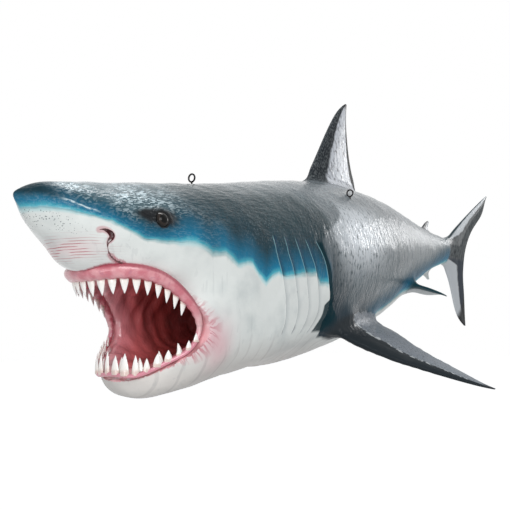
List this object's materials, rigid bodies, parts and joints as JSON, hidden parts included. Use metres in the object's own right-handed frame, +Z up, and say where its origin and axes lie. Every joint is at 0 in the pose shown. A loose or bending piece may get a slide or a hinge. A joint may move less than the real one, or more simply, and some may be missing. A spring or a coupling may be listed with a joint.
{
  "type": "hanging shark display model",
  "caption": "Hanging fibreglass display model of a great white shark with an open, toothed mouth, glass eyes and steel screw eyes in its back.",
  "frame": {"origin": "middle of the front screw eye's ring, on the back behind the head", "axes": "+X from nose to tail, +Z up, -Y to the shark's left side, which faces the picture's camera"},
  "size_m": [2.52, 0.9612, 0.8573],
  "materials": {
    "painted_fibreglass": "gloss clear coat over hand-painted fibreglass: slate blue-grey back, teal band, off-white belly, pink gums and dark red mouth",
    "tooth_resin": "smooth glossy ivory",
    "eye_glass": "very glossy dark brown-black glass, opaque",
    "black_steel": "blackened steel wire"
  },
  "bodies": {
    "root": {"shark_body": "painted_fibreglass", "left_eye": "eye_glass", "right_eye": "eye_glass", "front_screw_eye": "black_steel", "rear_left_screw_eye": "black_steel", "rear_right_screw_eye": "black_steel", "upper_tooth_01": "tooth_resin", "upper_tooth_02": "tooth_resin", "upper_tooth_03": "tooth_resin", "upper_tooth_04": "tooth_resin", "upper_tooth_05": "tooth_resin", "upper_tooth_06": "tooth_resin", "upper_tooth_07": "tooth_resin", "upper_tooth_08": "tooth_resin", "upper_tooth_09": "tooth_resin", "upper_tooth_10": "tooth_resin", "upper_tooth_11": "tooth_resin", "upper_tooth_12": "tooth_resin", "upper_tooth_13": "tooth_resin", "upper_tooth_14": "tooth_resin", "upper_tooth_15": "tooth_resin", "upper_tooth_16": "tooth_resin", "upper_tooth_17": "tooth_resin", "upper_tooth_18": "tooth_resin", "upper_tooth_19": "tooth_resin", "upper_tooth_20": "tooth_resin", "lower_tooth_01": "tooth_resin", "lower_tooth_02": "tooth_resin", "lower_tooth_03": "tooth_resin", "lower_tooth_04": "tooth_resin", "lower_tooth_05": "tooth_resin", "lower_tooth_06": "tooth_resin", "lower_tooth_07": "tooth_resin", "lower_tooth_08": "tooth_resin", "lower_tooth_09": "tooth_resin", "lower_tooth_10": "tooth_resin", "lower_tooth_11": "tooth_resin", "lower_tooth_12": "tooth_resin", "lower_tooth_13": "tooth_resin", "lower_tooth_14": "tooth_resin", "lower_tooth_15": "tooth_resin", "lower_tooth_16": "tooth_resin", "lower_tooth_17": "tooth_resin", "lower_tooth_18": "tooth_resin"}
  },
  "joints": []
}
